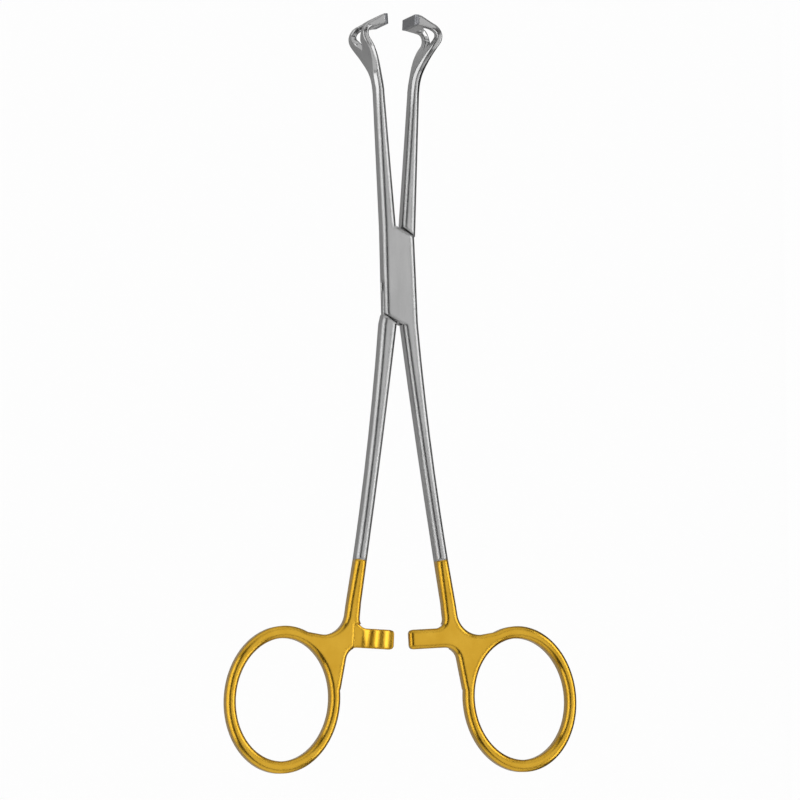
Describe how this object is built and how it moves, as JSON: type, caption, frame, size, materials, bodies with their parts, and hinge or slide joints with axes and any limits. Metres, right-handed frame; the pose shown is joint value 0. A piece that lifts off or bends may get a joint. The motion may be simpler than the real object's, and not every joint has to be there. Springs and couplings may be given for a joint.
{
  "type": "babcock forceps",
  "caption": "Box-lock tissue forceps with open loop jaws, grooved jaw inserts, a ratchet between the shanks and gold-plated finger rings.",
  "frame": {"origin": "on the pin's axis, at the back face of the box lock", "axes": "+Y towards the jaws along the middle line between the halves, +Z along the pin towards the viewer, +X towards the ring of the half that carries the box"},
  "size_m": [0.0862, 0.1784, 0.0122],
  "materials": {
    "satin_steel": "satin-polished stainless steel",
    "gold_plating": "polished gold plating over steel",
    "carbide_insert": "ground tungsten carbide, darker and duller than the steel"
  },
  "bodies": {
    "female": {"female_half": "satin_steel", "female_handle": "gold_plating", "female_jaw_insert": "carbide_insert", "box_lock_pin": "satin_steel"},
    "male": {"male_half": "satin_steel", "male_handle": "gold_plating", "male_jaw_insert": "carbide_insert"}
  },
  "joints": [
    {"name": "box_lock_hinge", "type": "hinge", "parent": "female", "child": "male", "pos_m": [0, 0, 0.0022], "axis": [0, 0, -1], "range_deg": [-6.2, 20]}
  ]
}
